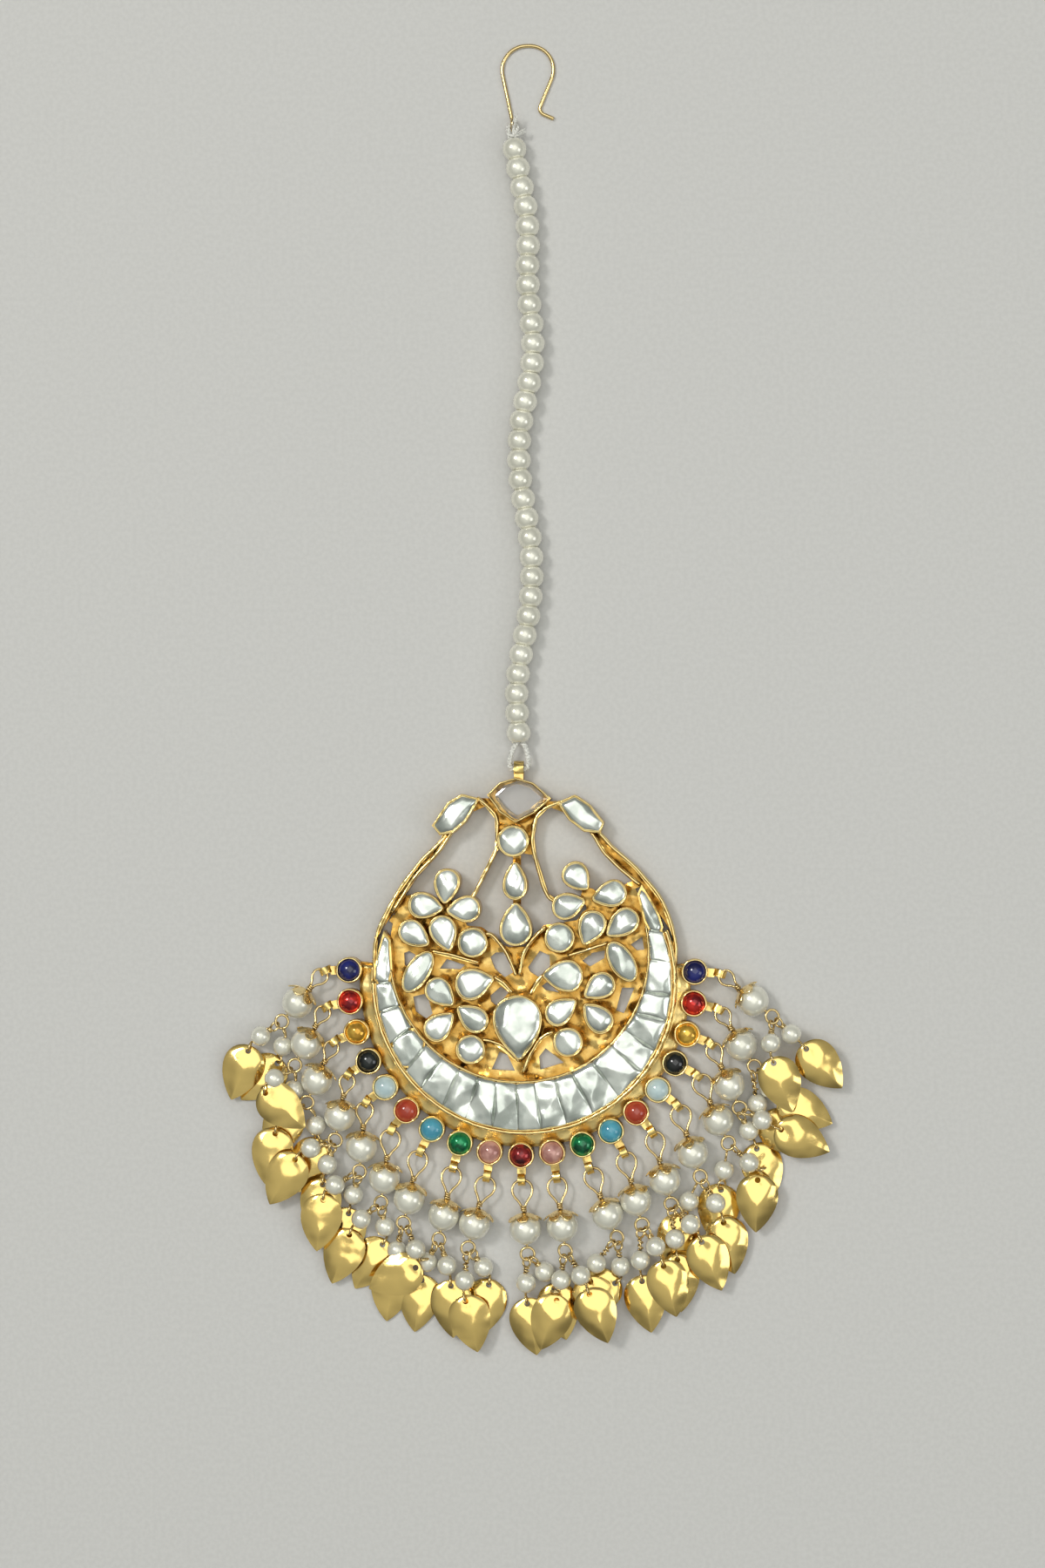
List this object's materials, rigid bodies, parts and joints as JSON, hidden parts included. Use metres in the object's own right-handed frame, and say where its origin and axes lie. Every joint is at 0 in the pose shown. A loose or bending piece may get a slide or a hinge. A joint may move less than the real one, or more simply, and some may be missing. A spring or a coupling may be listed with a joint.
{
  "type": "maang tikka",
  "caption": "Head ornament: a wire hair hook on a string of pearls with an openwork gold crescent pendant, foiled stones, coloured cabochons and pearl drops with leaves.",
  "frame": {"origin": "middle of the underside of the whole box, on the surface the jewel lies on", "axes": "+Y from the pendant along the string to the hair hook, +Z out of the pendant's face, +X to the wearer's left"},
  "size_m": [0.0952, 0.2012, 0.0058],
  "materials": {
    "frame_gold": "burnished warm gold",
    "foiled_glass": "colourless glass over silver foil",
    "clear_glass": "clear glass",
    "navy_glass": "opaque navy, polished",
    "red_glass": "foiled red glass",
    "yellow_glass": "foiled yellow glass",
    "black_glass": "opaque black, polished",
    "pale_blue_glass": "milky pale blue, polished",
    "coral_glass": "opaque coral, polished",
    "turquoise_glass": "opaque turquoise, polished",
    "green_glass": "foiled green glass",
    "pink_glass": "rose pink glass",
    "dark_red_glass": "dark red glass",
    "pearl": "lustrous cream imitation pearl",
    "wire_gold": "pale polished gold wire",
    "leaf_gold": "bright polished gold sheet",
    "white_thread": "twisted white cotton"
  },
  "bodies": {
    "root": {"pendant_frame": "frame_gold", "centre_stone": "foiled_glass", "fan_stone": "clear_glass", "left_shoulder_stone": "foiled_glass", "right_shoulder_stone": "foiled_glass", "field_stones": "foiled_glass", "crescent_stones": "foiled_glass", "cabochon_01": "navy_glass", "cabochon_02": "red_glass", "cabochon_03": "yellow_glass", "cabochon_04": "black_glass", "cabochon_05": "pale_blue_glass", "cabochon_06": "coral_glass", "cabochon_07": "turquoise_glass", "cabochon_08": "green_glass", "cabochon_09": "pink_glass", "cabochon_10": "dark_red_glass", "cabochon_11": "pink_glass", "cabochon_12": "green_glass", "cabochon_13": "turquoise_glass", "cabochon_14": "coral_glass", "cabochon_15": "pale_blue_glass", "cabochon_16": "black_glass", "cabochon_17": "yellow_glass", "cabochon_18": "red_glass", "cabochon_19": "navy_glass", "drop_pearl_01": "pearl", "drop_pearl_02": "pearl", "drop_pearl_03": "pearl", "drop_pearl_04": "pearl", "drop_pearl_05": "pearl", "drop_pearl_06": "pearl", "drop_pearl_07": "pearl", "drop_pearl_08": "pearl", "drop_pearl_09": "pearl", "drop_pearl_10": "pearl", "drop_pearl_11": "pearl", "drop_pearl_12": "pearl", "drop_pearl_13": "pearl", "drop_pearl_14": "pearl", "drop_pearl_15": "pearl", "drop_pearl_16": "pearl", "drop_pearl_17": "pearl", "drop_pearl_18": "pearl", "drop_pearl_19": "pearl", "drop_wires": "wire_gold", "link_wires": "wire_gold", "small_pearls": "pearl", "leaves": "leaf_gold", "string_pearls": "pearl", "string_thread": "white_thread", "hair_hook": "wire_gold"}
  },
  "joints": []
}
